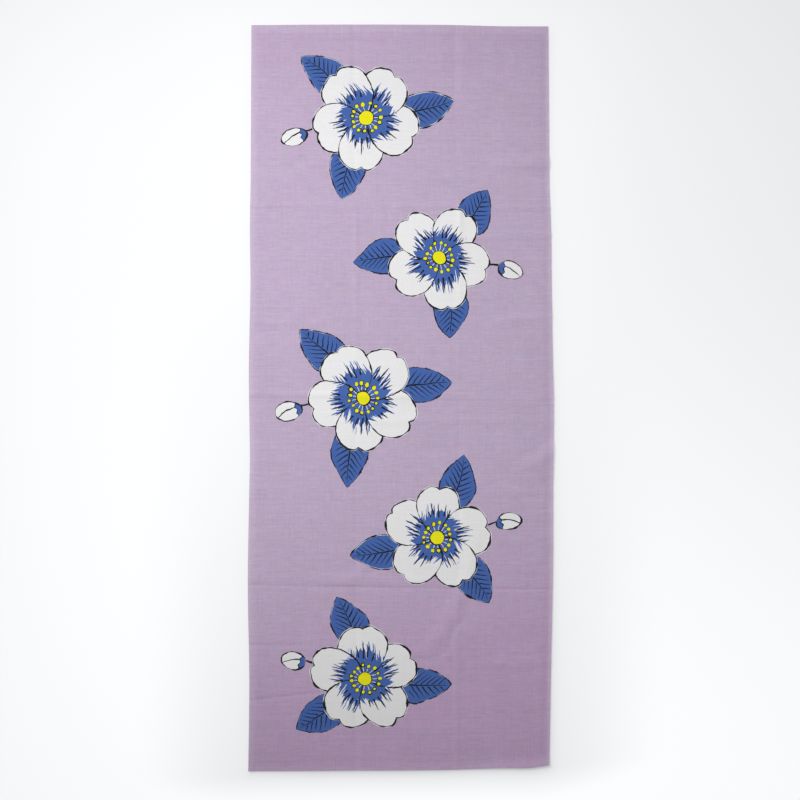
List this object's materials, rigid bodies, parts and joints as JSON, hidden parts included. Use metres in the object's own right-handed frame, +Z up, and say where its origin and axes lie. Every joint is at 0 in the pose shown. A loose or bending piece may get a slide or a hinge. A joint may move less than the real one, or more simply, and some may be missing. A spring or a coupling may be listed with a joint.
{
  "type": "tenugui towel",
  "caption": "Long flat cotton hand towel with woven sides and plain cut ends, opened out with low fold creases and printed on its face.",
  "frame": {"origin": "on the surface the cloth lies on, under the middle of its box", "axes": "+Y along the cloth's length towards its top end, +X across its width, +Z up through its thickness"},
  "size_m": [0.3688, 0.9, 0.0047],
  "materials": {
    "printed_cotton": "matt plain-woven cotton with a mauve ground"
  },
  "bodies": {
    "root": {"tenugui_cloth": "printed_cotton"}
  },
  "joints": []
}
